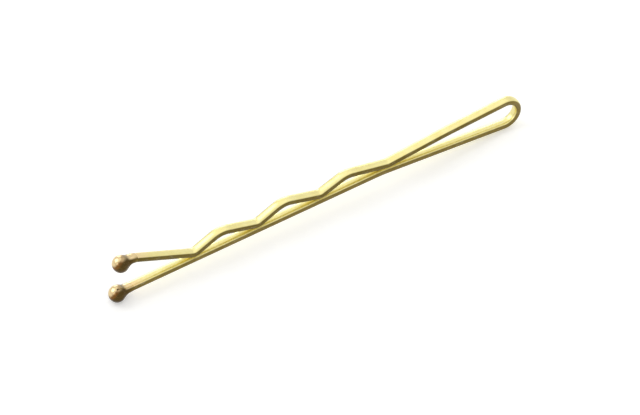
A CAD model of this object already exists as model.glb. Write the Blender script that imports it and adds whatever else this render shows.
import math

import bmesh
import bpy
import numpy as np
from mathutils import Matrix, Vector


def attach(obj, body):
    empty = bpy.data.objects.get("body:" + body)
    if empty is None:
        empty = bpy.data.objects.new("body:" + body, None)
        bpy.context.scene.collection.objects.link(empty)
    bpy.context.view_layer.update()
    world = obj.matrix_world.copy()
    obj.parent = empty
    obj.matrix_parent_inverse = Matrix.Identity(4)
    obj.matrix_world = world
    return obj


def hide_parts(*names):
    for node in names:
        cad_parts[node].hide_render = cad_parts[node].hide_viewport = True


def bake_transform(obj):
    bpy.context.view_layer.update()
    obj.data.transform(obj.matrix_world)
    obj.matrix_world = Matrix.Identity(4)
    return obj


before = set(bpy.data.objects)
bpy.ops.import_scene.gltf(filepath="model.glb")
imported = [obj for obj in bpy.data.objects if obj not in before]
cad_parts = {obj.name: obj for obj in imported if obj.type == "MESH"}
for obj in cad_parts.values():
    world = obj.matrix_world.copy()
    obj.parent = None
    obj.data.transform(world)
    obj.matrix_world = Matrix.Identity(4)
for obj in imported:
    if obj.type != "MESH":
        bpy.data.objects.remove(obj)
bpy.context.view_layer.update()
bpy.ops.object.select_all(action="DESELECT")

mm = 0.001

# The pin's own sizes, in millimetres, as they are in the part
pin = {
    "length": 50.8,
    "wireWidth": 1.2,
    "wireThickness": 0.75,
    "contactGap": 0.03,
    "loopRadius": 1.65,
    "loopRise": 0.07,
    "spreadRadius": 18.0,
    "spreadLead": 1.8,
    "armBow": 0.12,
    "armBowRadius": 50.0,
    "firstDip": 9.4,
    "wavePitch": 7.75,
    "lastWavePitch": 8.4,
    "waveHeight": 1.22,
    "lastWaveHeight": 1.05,
    "crestOffset": 3.4,
    "dipRadius": 0.95,
    "crestRadius": 2.4,
    "flareHeight": 4.2,
    "flareRadius": 3.0,
    "flareLevel": 0.7,
    "legShortfall": 0.55,
    "ball": 1.9,
    "ballSag": 0.15,
}


def along(heading):
    return Vector((math.cos(heading), math.sin(heading)))


def leftOf(heading):
    return Vector((-math.sin(heading), math.cos(heading)))


# The circles that the wire runs round: centre, and a radius that is negative where the wire turns right
def wireTurns():
    half = pin["wireThickness"] / 2
    loop = Vector((pin["length"] - pin["ball"] / 2 - pin["loopRadius"] - half, pin["loopRise"]))
    dipLevel = pin["wireThickness"] + pin["contactGap"]
    dips = [pin["firstDip"] + min(i, 2) * pin["wavePitch"] + max(i - 2, 0) * pin["lastWavePitch"]
            for i in range(4)]
    spreadRadius, lead = pin["spreadRadius"], pin["spreadLead"]
    lastDipLevel = dipLevel - (spreadRadius - math.sqrt(spreadRadius ** 2 - lead ** 2))
    armFrom = loop + Vector((0, pin["loopRadius"]))
    armTo = Vector((dips[3], lastDipLevel))
    armHeading = math.atan2(armTo.y - armFrom.y, armTo.x - armFrom.x)
    armCentre = (armFrom + armTo) / 2 + (pin["armBowRadius"] - pin["armBow"]) * leftOf(armHeading)
    turns = [
        (Vector((0, 0)), 0),
        (Vector((dips[3] - lead, -spreadRadius)), -spreadRadius),
        (loop, pin["loopRadius"]),
        (armCentre, pin["armBowRadius"]),
    ]
    dipRadius, crestRadius = pin["dipRadius"], pin["crestRadius"]
    for i in (3, 2, 1, 0):
        level = lastDipLevel if i == 3 else dipLevel
        turns.append((Vector((dips[i], level + dipRadius)), -dipRadius))
        if i > 0:
            height = pin["lastWaveHeight"] if i == 3 else pin["waveHeight"]
            crest = Vector((dips[i - 1] + pin["crestOffset"], dipLevel + height - crestRadius))
            turns.append((crest, crestRadius))
    flare = Vector((pin["legShortfall"] + pin["flareLevel"], pin["flareHeight"] - pin["flareRadius"]))
    turns.append((flare, pin["flareRadius"]))
    turns.append((Vector((pin["legShortfall"], pin["flareHeight"])), 0))
    return turns


# The pin stands on its lower ball and its loop, so the whole path is tilted a little and moved
def standingTurns():
    turns = wireTurns()
    loop, ballRadius = turns[2][0], pin["ball"] / 2
    span = loop + Vector((0, pin["ballSag"]))
    rise = pin["loopRadius"] + pin["wireThickness"] / 2 - ballRadius
    tilt = math.asin(rise / span.length) - math.atan2(span.y, span.x)

    def tilted(p):
        return p.x * along(tilt) + p.y * leftOf(tilt)

    lowBall = tilted(Vector((0, -pin["ballSag"])))
    middle = (lowBall.x - ballRadius + tilted(loop).x + pin["loopRadius"] + pin["wireThickness"] / 2) / 2
    shift = Vector((middle, lowBall.y - ballRadius))
    return [(tilted(centre) - shift, radius) for centre, radius in turns], lowBall - shift


turns, lowBall = standingTurns()


# The wire's centreline as straight runs and bends, each with where it starts on the wire's length
def wireSegments():
    headings = []
    for (a, ra), (b, rb) in zip(turns, turns[1:]):
        gap = b - a
        headings.append((math.atan2(gap.y, gap.x) - math.asin((rb - ra) / gap.length)) % (2 * math.pi))
    segments, reach = [], 0.0
    for i, heading in enumerate(headings):
        if i:
            centre, radius = turns[i]
            change = (heading - headings[i - 1]) % (2 * math.pi)
            if radius < 0:
                change -= 2 * math.pi
            length = abs(change * radius)
            segments.append({"bend": radius, "centre": centre, "heading": headings[i - 1], "change": change,
                             "from": reach, "length": length})
            reach += length
        start = turns[i][0] - turns[i][1] * leftOf(heading)
        end = turns[i + 1][0] - turns[i + 1][1] * leftOf(heading)
        segments.append({"bend": 0, "start": start, "heading": heading, "from": reach,
                         "length": (end - start).length})
        reach += (end - start).length
    return segments, reach


segments, wireLength = wireSegments()


# Place and heading of the centreline at a distance along the wire
def wireAt(distance):
    for part in segments:
        if distance <= part["from"] + part["length"] or part is segments[-1]:
            into = distance - part["from"]
            if not part["bend"]:
                return part["start"] + into * along(part["heading"]), part["heading"]
            heading = part["heading"] + part["change"] * into / part["length"]
            return part["centre"] - part["bend"] * leftOf(heading), heading


def space(p, y=0.0):
    return Vector((p.x * mm, y * mm, p.y * mm))


def removeSelection():
    if bpy.context.object and bpy.context.object.mode != "OBJECT":
        bpy.ops.object.mode_set(mode="OBJECT")
    bpy.ops.object.select_all(action="DESELECT")


wireMesh = {
    "edgeSteps": 10,  # steps in each quarter of a round edge
    "edgeStretch": 1.32,  # how much wider than high a rounded edge is, so that the rolled faces are crowned
    "edgeShare": 0.4995,  # share of the thickness that each corner is rounded by, just under half
    "trim": 0.008,  # taken off the thickness, in millimetres, to stay within the solids
    "bendStep": 1.5,  # degrees a step turns in a tight bend
    "runStep": 0.6,  # longest step along the wire, in millimetres
    "shortest": 1e-6,  # shorter stretches are left out, in millimetres
    "justPast": 1e-9,  # a piece starts this far past its cut, in millimetres, to be on its own side of it
    "mergeWithin": 0.00002,  # points this close become one, in millimetres
    "smoothAngle": 40,  # degrees between faces, up to which they are shaded as one surface
    "pathPoints": 12000,  # places along the wire that a piece's points are matched with
}


# The wire's flat section with rounded edges, square to its heading, in edit mode and selected
def startSection(name, centre, heading, width, thickness, edgeSteps):
    removeSelection()
    edgeStretch = wireMesh["edgeStretch"]
    squareToWire = (0, -(math.pi / 2 + heading), 0)
    bpy.ops.mesh.primitive_plane_add(size=mm, location=space(centre), rotation=squareToWire)
    piece = bpy.context.object
    piece.name = name
    piece.scale = (thickness, width / edgeStretch, 1)
    bpy.ops.object.transform_apply(location=True, rotation=True, scale=True)
    bpy.ops.object.mode_set(mode="EDIT")
    bpy.ops.mesh.select_all(action="SELECT")
    rounding = wireMesh["edgeShare"] * thickness * mm
    bpy.ops.mesh.bevel(offset=rounding, segments=edgeSteps, affect="VERTICES", clamp_overlap=False)
    bpy.ops.mesh.select_all(action="SELECT")
    bpy.ops.transform.resize(value=(1, edgeStretch, 1), center_override=space(centre))
    return piece


def extrudeBy(move):
    bpy.ops.mesh.extrude_region_move(TRANSFORM_OT_translate={"value": move, "orient_type": "GLOBAL"})


def finishMesh(piece, smoothAngle):
    bpy.ops.mesh.select_all(action="SELECT")
    bpy.ops.mesh.remove_doubles(threshold=wireMesh["mergeWithin"] * mm)
    bpy.ops.mesh.normals_make_consistent(inside=False)
    bpy.ops.object.mode_set(mode="OBJECT")
    bpy.ops.object.shade_smooth_by_angle(angle=math.radians(smoothAngle))
    edges = bmesh.new()
    edges.from_mesh(piece.data)
    openEdges = sum(1 for e in edges.edges if not e.is_manifold)
    volume = edges.calc_volume(signed=True) / mm ** 3
    edges.free()
    print(piece.name, len(piece.data.vertices), "points,", openEdges, "open edges,", round(volume, 3), "mm3")


# One length of the wire, from one distance along it to another
def wirePiece(name, fromDistance, toDistance):
    centre, heading = wireAt(fromDistance + wireMesh["justPast"])
    piece = startSection(name, centre, heading, pin["wireWidth"], pin["wireThickness"] - wireMesh["trim"],
                         wireMesh["edgeSteps"])
    for part in segments:
        first = max(fromDistance, part["from"])
        last = min(toDistance, part["from"] + part["length"])
        if last - first < wireMesh["shortest"]:
            continue
        steps = math.ceil((last - first) / wireMesh["runStep"])
        if part["bend"]:
            turn = part["change"] * (last - first) / part["length"]
            steps = max(steps, math.ceil(abs(math.degrees(turn)) / wireMesh["bendStep"]))
            bpy.ops.mesh.spin(steps=steps, angle=turn, center=space(part["centre"]), axis=(0, 1, 0))
        else:
            move = space((last - first) / steps * along(part["heading"]))
            for _ in range(steps):
                extrudeBy(move)
    finishMesh(piece, wireMesh["smoothAngle"])
    followWire(piece)
    return piece


pathPoints = wireMesh["pathPoints"]
pathSamples = [wireLength * i / (pathPoints - 1) for i in range(pathPoints)]
pathPlaces = np.array([[*wireAt(s)[0], wireAt(s)[1]] for s in pathSamples])


# Each point keeps how far along the wire it is, and where it is on the section, in millimetres
def followWire(piece):
    count = len(piece.data.vertices)
    places = np.empty(count * 3)
    piece.data.vertices.foreach_get("co", places)
    places = places.reshape(-1, 3) / mm
    along3 = np.empty((count, 3))
    for i, (x, y, z) in enumerate(places):
        near = np.argmin((pathPlaces[:, 0] - x) ** 2 + (pathPlaces[:, 1] - z) ** 2)
        px, pz, heading = pathPlaces[near]
        side = -(x - px) * math.sin(heading) + (z - pz) * math.cos(heading)
        along3[i] = (pathSamples[near], side, y)
    attribute = piece.data.attributes.new("alongWire", "FLOAT_VECTOR", "POINT")
    attribute.data.foreach_set("vector", along3.astype(np.float32).ravel())


# How much of the wire bends beside each hinge
bending = {
    "loopShare": 0.7,  # share of the loop's round end that belongs to loopEnd
    "intoArm": 3.0,  # stretch of the arm's bow that belongs to loopShoulder, in millimetres
    "beforeDip": 4.5,  # stretch of the arm that belongs to lastDipWire, in millimetres
}

# Where the wire is cut into pieces, as distances along it in millimetres
loopBend, armBow, lastDip = segments[3], segments[5], segments[7]
cuts = {
    "loopStart": loopBend["from"],
    "loopTop": loopBend["from"] + bending["loopShare"] * loopBend["length"],
    "armStart": armBow["from"] + bending["intoArm"],
    "armEnd": lastDip["from"] - bending["beforeDip"],
    "wavesStart": lastDip["from"] + lastDip["length"],
}

straightWire = wirePiece("straightWire", 0, cuts["loopStart"])
loopEnd = wirePiece("loopEnd", cuts["loopStart"], cuts["loopTop"])
loopShoulder = wirePiece("loopShoulder", cuts["loopTop"], cuts["armStart"])
upperWire = wirePiece("upperWire", cuts["armStart"], cuts["armEnd"])
lastDipWire = wirePiece("lastDipWire", cuts["armEnd"], cuts["wavesStart"])
wavyWire = wirePiece("wavyWire", cuts["wavesStart"], wireLength)
print("wire made:", round(wireLength, 2), "mm long")

# A dipped ball tip: the lacquer hangs below the wire's end as a ball,
# and runs out along the wire in a soft neck
dropShape = {
    "neckLength": 2.0,  # from the ball's middle to where the lacquer ends, in millimetres
    "hollowLength": 1.3,  # from the ball's middle to where its hollow curve meets the neck
    "neckWall": 0.035,  # thickness of the lacquer on the neck
    "edgeWall": -0.012,  # and at its end, which is just under the wire's surface
    "neckRings": 22,
    "ballRings": 17,
    "edgeSteps": 9,  # steps in each quarter of a ring
    "rounding": 1.2,  # how soon the neck turns into the ball: above 1, it does so before the ball's middle
    "ringRounding": 0.35,  # how much a ring is drawn to a circle at most, before it is part of the ball
    "smoothAngle": 60,  # degrees between faces, up to which they are shaded as one surface
    "trim": 0.006,  # taken off the ball's radius, in millimetres, to stay within the solids
}
dropRadius = pin["ball"] / 2 - dropShape["trim"]


def smoothStep(t):
    t = min(max(t, 0.0), 1.0)
    return t * t * (3 - 2 * t)


# Half size of the drop before the ball's middle: the ball, a hollow curve that touches it, then the neck
def dropReach(ahead, ball, neck):
    hollow = dropShape["hollowLength"]
    curve = (hollow ** 2 + neck ** 2 - ball ** 2) / (2 * (ball - neck))
    if ahead < hollow * ball / (ball + curve):
        return math.sqrt(max(ball * ball - ahead * ahead, 0))
    if ahead < hollow:
        return neck + curve - math.sqrt(curve ** 2 - (hollow - ahead) ** 2)
    return neck


# Half height, half width, drop of the centre and roundness of the lacquer
# at a distance before the ball's middle
def dropRing(ahead):
    neckLength, hollowLength = dropShape["neckLength"], dropShape["hollowLength"]
    ending = smoothStep((neckLength - ahead) / (neckLength - hollowLength))
    wall = dropShape["edgeWall"] + (dropShape["neckWall"] - dropShape["edgeWall"]) * ending
    high = dropReach(ahead, dropRadius, pin["wireThickness"] / 2 + wall)
    wide = dropReach(ahead, dropRadius, pin["wireWidth"] / 2 + wall)
    toBall = smoothStep(dropShape["rounding"] * (1 - ahead / hollowLength))
    return high, wide, pin["ballSag"] * toBall, toBall


# Each point keeps how far it is towards the wire, across and up from the ball's middle, in ball radii,
# and how far its surface faces up
def placeInDrop(piece, middle, outward):
    count = len(piece.data.vertices)
    places = np.empty(count * 3)
    piece.data.vertices.foreach_get("co", places)
    places = (places.reshape(-1, 3) / mm - (middle.x, 0, middle.y)) / (pin["ball"] / 2)
    towards = -(places[:, 0] * outward.x + places[:, 2] * outward.y)
    inDrop = np.stack([towards, places[:, 1], places[:, 2]], axis=1)
    attribute = piece.data.attributes.new("inDrop", "FLOAT_VECTOR", "POINT")
    attribute.data.foreach_set("vector", inDrop.astype(np.float32).ravel())
    facesUp = piece.data.attributes.new("facesUp", "FLOAT", "POINT")
    facesUp.data.foreach_set("value", [v.normal.z for v in piece.data.vertices])


# The drop's middle line follows the wire: its place before the ball's middle, and its heading, outward
def dropLine(onStraightLeg, ahead):
    place, heading = wireAt(max(ahead, 0) if onStraightLeg else wireLength - max(ahead, 0))
    if onStraightLeg:
        heading += math.pi
    return place - min(ahead, 0) * along(heading), heading


def makeDrop(name, onStraightLeg):
    neckRings, ballRings = dropShape["neckRings"], dropShape["ballRings"]
    stations = [dropShape["neckLength"] * (1 - k / neckRings) for k in range(neckRings + 1)]
    for k in range(1, ballRings):
        stations.append(-dropRadius * math.sin(0.5 * math.pi * k / ballRings))
    high, wide = dropRing(stations[0])[:2]
    centre, heading = dropLine(onStraightLeg, stations[0])
    piece = startSection(name, centre, heading, 2 * wide, 2 * high, dropShape["edgeSteps"])
    for ahead in stations[1:]:
        high, wide, sag, roundness = dropRing(ahead)
        target, newHeading = dropLine(onStraightLeg, ahead)
        target = target - Vector((0, sag))
        extrudeBy(space(target - centre))
        centre = target
        here = space(centre)
        bpy.ops.transform.rotate(value=newHeading - heading, orient_axis="Y", center_override=here)
        heading = newHeading
        toCircle = dropShape["ringRounding"] * roundness if roundness < 1 else 1.0
        bpy.ops.transform.tosphere(value=toCircle, center_override=here)
        ring = [v.co - here for v in bmesh.from_edit_mesh(piece.data).verts if v.select]
        up = Vector((-math.sin(heading), 0, math.cos(heading)))
        nowHigh = max(abs(v.dot(up)) for v in ring) / mm
        nowWide = max(abs(v.y) for v in ring) / mm
        bpy.ops.transform.resize(value=(high / nowHigh, wide / nowWide, high / nowHigh), center_override=here)
    outward = along(heading)
    extrudeBy(space((dropRadius + ahead) * outward))
    bpy.ops.mesh.merge(type="CENTER")
    finishMesh(piece, dropShape["smoothAngle"])
    middle = dropLine(onStraightLeg, 0)[0] - Vector((0, pin["ballSag"]))
    placeInDrop(piece, middle, outward)
    return piece


straightDrop = makeDrop("straightLegDrop", True)
wavyDrop = makeDrop("wavyLegDrop", False)
print("drops made")


# Shader nodes are placed by this helper, which takes values by socket name
def addNode(tree, kind, place, **values):
    node = tree.nodes.new(kind)
    node.location = place
    for name, value in values.items():
        if name in node.inputs:
            node.inputs[name].default_value = value
        else:
            setattr(node, name, value)
    return node


def newGroup(name, inputs, outputs):
    group = bpy.data.node_groups.new(name, "ShaderNodeTree")
    for label, kind, value in inputs:
        socket = group.interface.new_socket(label, in_out="INPUT", socket_type=kind)
        if value is not None:
            socket.default_value = value
    for label, kind in outputs:
        group.interface.new_socket(label, in_out="OUTPUT", socket_type=kind)
    return group, addNode(group, "NodeGroupInput", (-900, 0)), addNode(group, "NodeGroupOutput", (900, 0))


def mathNode(tree, operation, place, first, second=None, third=None, clamp=False):
    node = addNode(tree, "ShaderNodeMath", place, operation=operation, use_clamp=clamp)
    for i, value in enumerate((first, second, third)):
        if value is None:
            continue
        if isinstance(value, (int, float)):
            node.inputs[i].default_value = value
        else:
            tree.links.new(value, node.inputs[i])
    return node.outputs[0]


def rampNode(tree, place, value, low, high, outLow=0.0, outHigh=1.0):
    node = addNode(tree, "ShaderNodeMapRange", place, interpolation_type="SMOOTHSTEP")
    node.inputs["From Min"].default_value = low
    node.inputs["From Max"].default_value = high
    node.inputs["To Min"].default_value = outLow
    node.inputs["To Max"].default_value = outHigh
    tree.links.new(value, node.inputs["Value"])
    return node.outputs["Result"]


def mixColour(tree, place, factor, first, second):
    node = addNode(tree, "ShaderNodeMix", place, data_type="RGBA")
    for socket, value in ((node.inputs[0], factor), (node.inputs[6], first), (node.inputs[7], second)):
        if isinstance(value, (int, float)):
            socket.default_value = value
        elif isinstance(value, tuple):
            socket.default_value = (*value, 1)
        else:
            tree.links.new(value, socket)
    return node.outputs[2]


handling = {
    "scratchLayers": [
        # how each layer is turned, in radians, and stretched
        ((0.3, 0.2, 0.5), (1.2, 26, 26)),
        ((0.9, -0.4, -0.6), (1.0, 20, 20)),
    ],
    "scratchFrom": 0.665,  # strength of the noise where a scratch begins
    "scratchFull": 0.72,
    "pitScale": 7.0,
    "pitFull": 0.07,  # distance from a pit's middle, as a share of the pits' spacing
    "pitTo": 0.2,
    "blotchScale": 0.9,
    "blotchFrom": 0.3,
    "blotchFull": 0.7,
    "grainScale": 14.0,
    "grainHeight": 0.35,
    "depth": 0.5,  # of scratches and pits
}


# Fine scratches, pits and blotches from handling, on a place given in millimetres
def handlingMarks():
    look = handling
    group, enter, leave = newGroup(
        "handlingMarks",
        [("Place", "NodeSocketVector", None), ("Scratch Amount", "NodeSocketFloat", 0.5),
         ("Pit Amount", "NodeSocketFloat", 0.5)],
        [("Scratches", "NodeSocketFloat"), ("Pits", "NodeSocketFloat"), ("Blotches", "NodeSocketFloat"),
         ("Height", "NodeSocketFloat")])
    link = group.links.new
    layers = []
    for i, (turn, stretch) in enumerate(look["scratchLayers"]):
        mapping = addNode(group, "ShaderNodeMapping", (-700, 300 - 260 * i))
        mapping.inputs["Rotation"].default_value = turn
        mapping.inputs["Scale"].default_value = stretch
        link(enter.outputs["Place"], mapping.inputs["Vector"])
        noise = addNode(group, "ShaderNodeTexNoise", (-500, 300 - 260 * i), Scale=1.0, Detail=2.0)
        link(mapping.outputs["Vector"], noise.inputs["Vector"])
        layers.append(rampNode(group, (-300, 300 - 260 * i), noise.outputs["Fac"],
                               look["scratchFrom"], look["scratchFull"]))
    both = mathNode(group, "MAXIMUM", (-100, 200), layers[0], layers[1])
    scratches = mathNode(group, "MULTIPLY", (80, 200), both, enter.outputs["Scratch Amount"], clamp=True)
    spots = addNode(group, "ShaderNodeTexVoronoi", (-500, -260), Scale=look["pitScale"])
    link(enter.outputs["Place"], spots.inputs["Vector"])
    pitMask = rampNode(group, (-300, -260), spots.outputs["Distance"],
                       look["pitFull"], look["pitTo"], 1.0, 0.0)
    pits = mathNode(group, "MULTIPLY", (80, -200), pitMask, enter.outputs["Pit Amount"], clamp=True)
    blotch = addNode(group, "ShaderNodeTexNoise", (-500, -520),
                     Scale=look["blotchScale"], Detail=4.0, Roughness=0.6)
    link(enter.outputs["Place"], blotch.inputs["Vector"])
    blotches = rampNode(group, (-300, -520), blotch.outputs["Fac"], look["blotchFrom"], look["blotchFull"])
    grain = addNode(group, "ShaderNodeTexNoise", (-500, -760), Scale=look["grainScale"], Detail=3.0)
    link(enter.outputs["Place"], grain.inputs["Vector"])
    dug = mathNode(group, "ADD", (260, 0), scratches, pits)
    rise = mathNode(group, "MULTIPLY_ADD", (440, -300),
                    grain.outputs["Fac"], look["grainHeight"], look["depth"])
    height = mathNode(group, "MULTIPLY_ADD", (620, -100), dug, -look["depth"], rise)
    results = {"Scratches": scratches, "Pits": pits, "Blotches": blotches, "Height": height}
    for label, value in results.items():
        link(value, leave.inputs[label])
    return group


marks = handlingMarks()


def newMaterial(name, colour):
    material = bpy.data.materials.new(name)
    material.use_nodes = True
    material.diffuse_color = (*colour, 1)
    tree = material.node_tree
    tree.nodes["Principled BSDF"].location = (900, 0)
    tree.nodes["Material Output"].location = (1200, 0)
    return material, tree, tree.nodes["Principled BSDF"]


goldWire = {
    "pale": (0.84, 0.775, 0.375),
    "rich": (0.755, 0.645, 0.23),
    "edge": (0.22, 0.162, 0.040),
    "edgeDark": (0.12, 0.085, 0.010),
    "worn": (0.80, 0.77, 0.62),
    "edgeStart": 0.40,  # millimetres from the wire's middle
    "edgeFull": 0.48,
    "wavyFrom": 52.0,  # where the edges begin to darken, in millimetres along the wire
    "wavyFull": 62.0,
    "faceRoughness": 0.30,
    "edgeRoughness": 0.44,
    "dipped": (0.80, 0.60, 0.31),  # the face near the tips, where the dip has left a wash
    "dippedFull": 1.6,  # millimetres from the wire's ends
    "dippedTo": 4.2,
    "dippedStrength": 0.85,
    "dippedEdge": 0.4,  # how much the wash darkens the edges
    "wavyEdge": 0.5,  # how much the edges darken along the wavy leg
    "blotchedEdge": 0.35,
    "edgeRagged": 0.05,  # millimetres that an edge's border wanders
    "rollLines": (0.35, 16, 16),  # lines a millimetre: along the wire, through it and across it
    "lineTone": 0.8,
    "palest": -0.15,  # share of the rich gold where neither lines nor blotches add any
    "blotchTone": 0.45,
    "scratchAmount": 0.6,
    "scratchWear": 0.55,
    "pitAmount": 0.5,
    "pitDark": 0.7,
    "lineRoughness": 0.16,
    "scratchRoughness": 0.12,
    "coat": 0.25,
    "coatRoughness": 0.12,
    "lineHeight": 0.7,
    "bump": 0.5,
    "bumpHeight": 0.012,  # millimetres
}


def goldWireMaterial():
    look = goldWire
    material, tree, shader = newMaterial("paleGoldLacquerOnRolledWire", look["pale"])
    link = tree.links.new
    place = addNode(tree, "ShaderNodeAttribute", (-1300, 0), attribute_name="alongWire")
    split = addNode(tree, "ShaderNodeSeparateXYZ", (-1100, 200))
    link(place.outputs["Vector"], split.inputs[0])
    handled = addNode(tree, "ShaderNodeGroup", (-800, -300), node_tree=marks)
    handled.inputs["Scratch Amount"].default_value = look["scratchAmount"]
    handled.inputs["Pit Amount"].default_value = look["pitAmount"]
    link(place.outputs["Vector"], handled.inputs["Place"])
    # lines that the rolls left along the wire
    stretched = addNode(tree, "ShaderNodeMapping", (-1100, -100))
    stretched.inputs["Scale"].default_value = look["rollLines"]
    link(place.outputs["Vector"], stretched.inputs["Vector"])
    rolled = addNode(tree, "ShaderNodeTexNoise", (-900, -100), Scale=1.0, Detail=3.0, Roughness=0.65)
    link(stretched.outputs["Vector"], rolled.inputs["Vector"])
    # the round edges, where the lacquer is thicker and browner
    fromMiddle = mathNode(tree, "ABSOLUTE", (-900, 300), split.outputs["Z"])
    ragged = mathNode(tree, "MULTIPLY_ADD", (-700, 300),
                      rolled.outputs["Fac"], look["edgeRagged"], fromMiddle)
    edge = rampNode(tree, (-500, 300), ragged,
                    look["edgeStart"] + look["edgeRagged"] / 2, look["edgeFull"] + look["edgeRagged"] / 2)
    # uneven strength of the gold along the wire
    faceTone = mathNode(tree, "MULTIPLY_ADD", (-500, 60),
                        rolled.outputs["Fac"], look["lineTone"], look["palest"])
    faceMix = mathNode(tree, "MULTIPLY_ADD", (-320, 60),
                       handled.outputs["Blotches"], look["blotchTone"], faceTone, clamp=True)
    gilded = mixColour(tree, (-300, 200), faceMix, look["pale"], look["rich"])
    # the wash that the dip left near both ends of the wire
    toEnd = mathNode(tree, "SUBTRACT", (-900, 520), wireLength, split.outputs["X"])
    nearEnd = mathNode(tree, "MINIMUM", (-700, 520), toEnd, split.outputs["X"])
    dipped = rampNode(tree, (-500, 520), nearEnd,
                      look["dippedFull"], look["dippedTo"], look["dippedStrength"], 0.0)
    face = mixColour(tree, (-100, 200), dipped, gilded, look["dipped"])
    onWavyLeg = rampNode(tree, (-500, -60), split.outputs["X"],
                         look["wavyFrom"], look["wavyFull"], 0.0, look["wavyEdge"])
    edgeMix = mathNode(tree, "MULTIPLY_ADD", (-320, -60),
                       handled.outputs["Blotches"], look["blotchedEdge"], onWavyLeg, clamp=True)
    dipMix = mathNode(tree, "MULTIPLY_ADD", (-200, -60), dipped, look["dippedEdge"], edgeMix, clamp=True)
    edgeColour = mixColour(tree, (-100, 0), dipMix, look["edge"], look["edgeDark"])
    whole = mixColour(tree, (120, 120), edge, face, edgeColour)
    scratched = mathNode(tree, "MULTIPLY", (120, -80), handled.outputs["Scratches"], look["scratchWear"])
    marked = mixColour(tree, (340, 120), scratched, whole, look["worn"])
    pitted = mathNode(tree, "MULTIPLY", (340, -80), handled.outputs["Pits"], look["pitDark"])
    colour = mixColour(tree, (560, 120), pitted, marked, look["edgeDark"])
    link(colour, shader.inputs["Base Color"])
    edgeShine = rampNode(tree, (120, -260), edge, 0, 1, look["faceRoughness"], look["edgeRoughness"])
    lines = mathNode(tree, "MULTIPLY_ADD", (340, -260),
                     rolled.outputs["Fac"], look["lineRoughness"], edgeShine)
    rough = mathNode(tree, "MULTIPLY_ADD", (560, -260),
                     handled.outputs["Scratches"], look["scratchRoughness"], lines)
    evened = mathNode(tree, "SUBTRACT", (720, -260), rough, look["lineRoughness"] / 2, clamp=True)
    link(evened, shader.inputs["Roughness"])
    shader.inputs["Metallic"].default_value = 1.0
    shader.inputs["Coat Weight"].default_value = look["coat"]
    shader.inputs["Coat Roughness"].default_value = look["coatRoughness"]
    height = mathNode(tree, "MULTIPLY_ADD", (340, -520),
                      rolled.outputs["Fac"], look["lineHeight"], handled.outputs["Height"])
    bump = addNode(tree, "ShaderNodeBump", (620, -520),
                   Strength=look["bump"], Distance=look["bumpHeight"] * mm)
    link(height, bump.inputs["Height"])
    link(bump.outputs["Normal"], shader.inputs["Normal"])
    return material


amberDrop = {
    "thin": (0.70, 0.54, 0.29),
    "thick": (0.072, 0.042, 0.006),
    "warm": (0.17, 0.074, 0.013),  # between the two, where light gets through
    "dust": (0.60, 0.50, 0.30),
    "lean": (-0.7, 0.42, 0.75),  # the way that the lacquer gets thinner: towards the wire, across, up
    "swirl": 0.3,  # how far swirls shift the thickness
    "thickUpTo": 0.62,
    "thinFrom": 0.90,
    "warmFrom": 0.22,
    "warmFull": 0.56,
    "ending": (0.17, 0.118, 0.022),
    "thinEnding": (0.80, 0.62, 0.32),
    "neckFrom": 0.6,  # ball radii from its middle, between which the top of the neck gets thinner
    "neckFull": 1.1,
    "endFrom": 0.9,  # and between which the rest of it does
    "endFull": 2.1,
    "ballTop": 0.5,  # how thin the lacquer is on top of the ball, beside 1 on top of the neck
    "topFrom": 0.72,  # how far a surface faces up, from 0 to 1, where the top begins
    "topFull": 0.97,
    "scratchAmount": 0.35,
    "dustStrength": 0.6,
    "pitAmount": 0.6,
    "pitDark": 0.6,
    "roughness": 0.22,
    "blotchRoughness": 0.14,
    "scratchRoughness": 0.2,
    "metallic": 0.96,
    "coat": 0.15,
    "coatRoughness": 0.08,
    "swirlHeight": 1.6,
    "bump": 0.5,
    "bumpHeight": 0.015,  # millimetres
}


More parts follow.
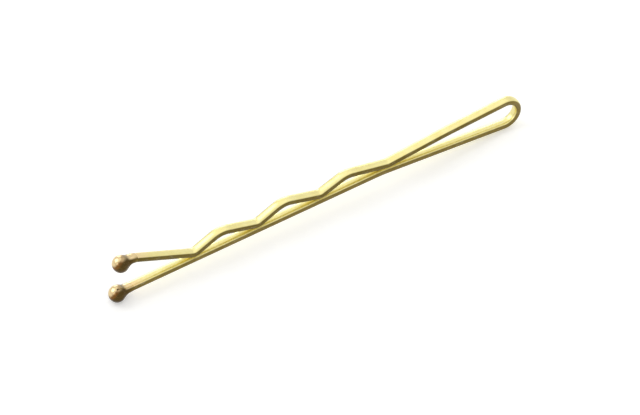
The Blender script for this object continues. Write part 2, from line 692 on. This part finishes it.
def amberDropMaterial():
    look = amberDrop
    material, tree, shader = newMaterial("amberGoldDipLacquer", look["thin"])
    link = tree.links.new
    place = addNode(tree, "ShaderNodeTexCoord", (-1100, 0))
    inMillimetres = addNode(tree, "ShaderNodeMapping", (-900, 0))
    inMillimetres.inputs["Scale"].default_value = (1 / mm, 1 / mm, 1 / mm)
    link(place.outputs["Object"], inMillimetres.inputs["Vector"])
    handled = addNode(tree, "ShaderNodeGroup", (-600, -300), node_tree=marks)
    handled.inputs["Scratch Amount"].default_value = look["scratchAmount"]
    handled.inputs["Pit Amount"].default_value = look["pitAmount"]
    link(inMillimetres.outputs["Vector"], handled.inputs["Place"])
    # the lacquer is thick and dark below and round the neck, and thin on top and at the outer end,
    # more so on the side that it leans to, in soft swirls
    swirl = addNode(tree, "ShaderNodeTexNoise", (-600, 100), Scale=1.6, Detail=2.0, Distortion=0.8)
    link(inMillimetres.outputs["Vector"], swirl.inputs["Vector"])
    ballPlace = addNode(tree, "ShaderNodeAttribute", (-1100, 400), attribute_name="inDrop")
    lean = addNode(tree, "ShaderNodeVectorMath", (-900, 400), operation="DOT_PRODUCT")
    lean.inputs[1].default_value = look["lean"]
    link(ballPlace.outputs["Vector"], lean.inputs[0])
    swirled = mathNode(tree, "MULTIPLY_ADD", (-700, 400),
                       swirl.outputs["Fac"], look["swirl"], lean.outputs["Value"])
    middleSwirl = look["swirl"] / 2
    leaned = rampNode(tree, (-520, 400), swirled,
                      look["thickUpTo"] + middleSwirl, look["thinFrom"] + middleSwirl)
    facesUp = addNode(tree, "ShaderNodeAttribute", (-900, 650), attribute_name="facesUp")
    ballSplit = addNode(tree, "ShaderNodeSeparateXYZ", (-900, 850))
    link(ballPlace.outputs["Vector"], ballSplit.inputs[0])
    topStrength = rampNode(tree, (-700, 850), ballSplit.outputs["X"],
                           look["neckFrom"], look["neckFull"], look["ballTop"], 1.0)
    facing = rampNode(tree, (-520, 650), facesUp.outputs["Fac"], look["topFrom"], look["topFull"])
    onTop = mathNode(tree, "MULTIPLY", (-340, 650), facing, topStrength)
    thin = mathNode(tree, "ADD", (-340, 400), leaned, onTop, clamp=True)
    ending = rampNode(tree, (-520, 850), ballSplit.outputs["X"], look["endFrom"], look["endFull"])
    warm = rampNode(tree, (-520, 200), swirled,
                    look["warmFrom"] + middleSwirl, look["warmFull"] + middleSwirl)
    deep = mixColour(tree, (-420, 0), warm, look["thick"], look["warm"])
    dark = mixColour(tree, (-340, 100), ending, deep, look["ending"])
    light = mixColour(tree, (-340, 250), ending, look["thin"], look["thinEnding"])
    body = mixColour(tree, (-160, 100), thin, dark, light)
    dusty = mathNode(tree, "MULTIPLY", (-160, -100), handled.outputs["Scratches"], look["dustStrength"])
    colour = mixColour(tree, (80, 100), dusty, body, look["dust"])
    pitted = mathNode(tree, "MULTIPLY", (80, -100), handled.outputs["Pits"], look["pitDark"])
    link(mixColour(tree, (300, 100), pitted, colour, look["thick"]), shader.inputs["Base Color"])
    rough = mathNode(tree, "MULTIPLY_ADD", (300, -260), handled.outputs["Blotches"],
                     look["blotchRoughness"], look["roughness"] - look["blotchRoughness"] / 2)
    scraped = mathNode(tree, "MULTIPLY_ADD", (500, -260),
                       handled.outputs["Scratches"], look["scratchRoughness"], rough)
    link(scraped, shader.inputs["Roughness"])
    shader.inputs["Metallic"].default_value = look["metallic"]
    shader.inputs["Coat Weight"].default_value = look["coat"]
    shader.inputs["Coat Roughness"].default_value = look["coatRoughness"]
    height = mathNode(tree, "MULTIPLY_ADD", (300, -520),
                      swirl.outputs["Fac"], look["swirlHeight"], handled.outputs["Height"])
    bump = addNode(tree, "ShaderNodeBump", (620, -520),
                   Strength=look["bump"], Distance=look["bumpHeight"] * mm)
    link(height, bump.inputs["Height"])
    link(bump.outputs["Normal"], shader.inputs["Normal"])
    return material


gold, amber = goldWireMaterial(), amberDropMaterial()
wirePieces = [straightWire, loopEnd, loopShoulder, upperWire, lastDipWire, wavyWire]
for piece in wirePieces:
    piece.data.materials.append(gold)
for piece in (straightDrop, wavyDrop):
    piece.data.materials.append(amber)
for name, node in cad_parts.items():
    node.data.materials.clear()
    node.data.materials.append(amber if name.endswith("_tip") else gold)
print("materials made")

# The wire bends across each hinge, so that no joint shows
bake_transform(loopEnd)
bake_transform(loopShoulder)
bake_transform(lastDipWire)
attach(straightWire, "straight_side")
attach(straightDrop, "straight_side")
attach(upperWire, "arm_side")
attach(wavyWire, "wavy_side")
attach(wavyDrop, "wavy_side")
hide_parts("straight_leg", "leg_bend", "lower_arm")
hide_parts("lower_bend")
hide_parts("upper_bend")
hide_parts("upper_arm")
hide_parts("last_dip")
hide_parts("wave_3", "wave_2", "wave_1", "flared_end")
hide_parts("straight_leg_tip")
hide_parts("wavy_leg_tip")
print("pieces joined to their bodies")

# The view of the photograph
view = {
    "turn": -32.0,  # degrees
    "rise": 46.0,
    "distance": 1.6,  # metres from the camera to the pin
    "frame": (640, 415),  # pixels
    "scale": 9.575,  # pixels a millimetre at the pin
    "lowBallAt": (117.1, 293.6),  # where the lower ball's middle is in the frame, from its top left
    "sensorWidth": 36,  # millimetres
    "nearest": 0.01,  # metres, and so is farthest
    "farthest": 20,
}


def makeCamera():
    turn, rise = math.radians(view["turn"]), math.radians(view["rise"])
    level = Vector((-math.sin(turn), math.cos(turn), 0))
    across = Vector((math.cos(turn), math.sin(turn), 0))
    look = level * math.cos(rise) - Vector((0, 0, math.sin(rise)))
    up = across.cross(look)
    wide, high = view["frame"]
    toRight = (wide / 2 - view["lowBallAt"][0]) / view["scale"] * mm
    toTop = (view["lowBallAt"][1] - high / 2) / view["scale"] * mm
    aim = space(lowBall) + toRight * across + toTop * up
    bpy.ops.object.camera_add(location=aim - view["distance"] * look)
    camera = bpy.context.object
    camera.rotation_euler = look.to_track_quat("-Z", "Y").to_euler()
    camera.data.sensor_width = view["sensorWidth"]
    camera.data.lens = view["sensorWidth"] * view["distance"] / (wide / view["scale"] * mm)
    camera.data.clip_start = view["nearest"]
    camera.data.clip_end = view["farthest"]
    bpy.context.scene.camera = camera


makeCamera()

studio = {
    "floor": (0.90, 0.90, 0.89),
    "floorSize": 8,  # metres
    "floorLevel": -0.00001,  # metres, just below the pin
    "floorRoughness": 0.7,
    "floorSheen": 0.2,
    "floorGlow": 0.34,  # added for the camera and for reflections
    "sky": 0.6,  # what the sky lights with, while the camera and reflections see 1
    "lamps": [
        # name, place from the pin's middle in metres, size, watts
        ("backLeftBox", (-0.42, 0.50, 0.50), 0.5, 1.45),
        ("overheadBox", (0.15, 0.15, 0.85), 1.1, 1.0),
        ("backStrip", (0.30, 0.76, 0.20), 0.4, 1.2),
        ("leftFill", (-0.65, -0.20, 0.40), 0.4, 0.5),
    ],
}


def makeStudio():
    removeSelection()
    bpy.ops.mesh.primitive_plane_add(size=studio["floorSize"], location=(0, 0, studio["floorLevel"]))
    floor = bpy.context.object
    floor.name = "paleFloor"
    material, tree, shader = newMaterial("paleTable", studio["floor"])
    shader.inputs["Base Color"].default_value = (*studio["floor"], 1)
    shader.inputs["Roughness"].default_value = studio["floorRoughness"]
    shader.inputs["Specular IOR Level"].default_value = studio["floorSheen"]
    seen = addNode(tree, "ShaderNodeLightPath", (300, 300))
    glossy = mathNode(tree, "ADD", (500, 300), seen.outputs["Is Camera Ray"], seen.outputs["Is Glossy Ray"])
    shown = mathNode(tree, "ADD", (660, 300), glossy, seen.outputs["Is Transmission Ray"], clamp=True)
    glowStrength = mathNode(tree, "MULTIPLY", (780, 300), shown, studio["floorGlow"])
    glow = addNode(tree, "ShaderNodeEmission", (900, 300))
    tree.links.new(glowStrength, glow.inputs["Strength"])
    both = addNode(tree, "ShaderNodeAddShader", (1100, 200))
    tree.links.new(glow.outputs[0], both.inputs[0])
    tree.links.new(shader.outputs[0], both.inputs[1])
    tree.links.new(both.outputs[0], tree.nodes["Material Output"].inputs["Surface"])
    floor.data.materials.append(material)
    world = bpy.data.worlds.new("studioSky")
    bpy.context.scene.world = world
    world.use_nodes = True
    sky = world.node_tree
    background = sky.nodes["Background"]
    seen = addNode(sky, "ShaderNodeLightPath", (-700, 0))
    direct = mathNode(sky, "ADD", (-500, 0), seen.outputs["Is Camera Ray"], seen.outputs["Is Glossy Ray"])
    shown = mathNode(sky, "ADD", (-350, 0), direct, seen.outputs["Is Transmission Ray"], clamp=True)
    strength = rampNode(sky, (-200, 0), shown, 0, 1, studio["sky"], 1.0)
    sky.links.new(strength, background.inputs["Strength"])
    background.inputs["Color"].default_value = (1, 1, 1, 1)
    for name, place, size, watts in studio["lamps"]:
        bpy.ops.object.light_add(type="AREA", location=place)
        lamp = bpy.context.object
        lamp.name = name
        lamp.data.shape = "SQUARE"
        lamp.data.size = size
        lamp.data.energy = watts
        lamp.rotation_euler = (-Vector(place)).to_track_quat("-Z", "Y").to_euler()


makeStudio()
bpy.context.scene.view_settings.view_transform = "Standard"
print("camera and studio made")
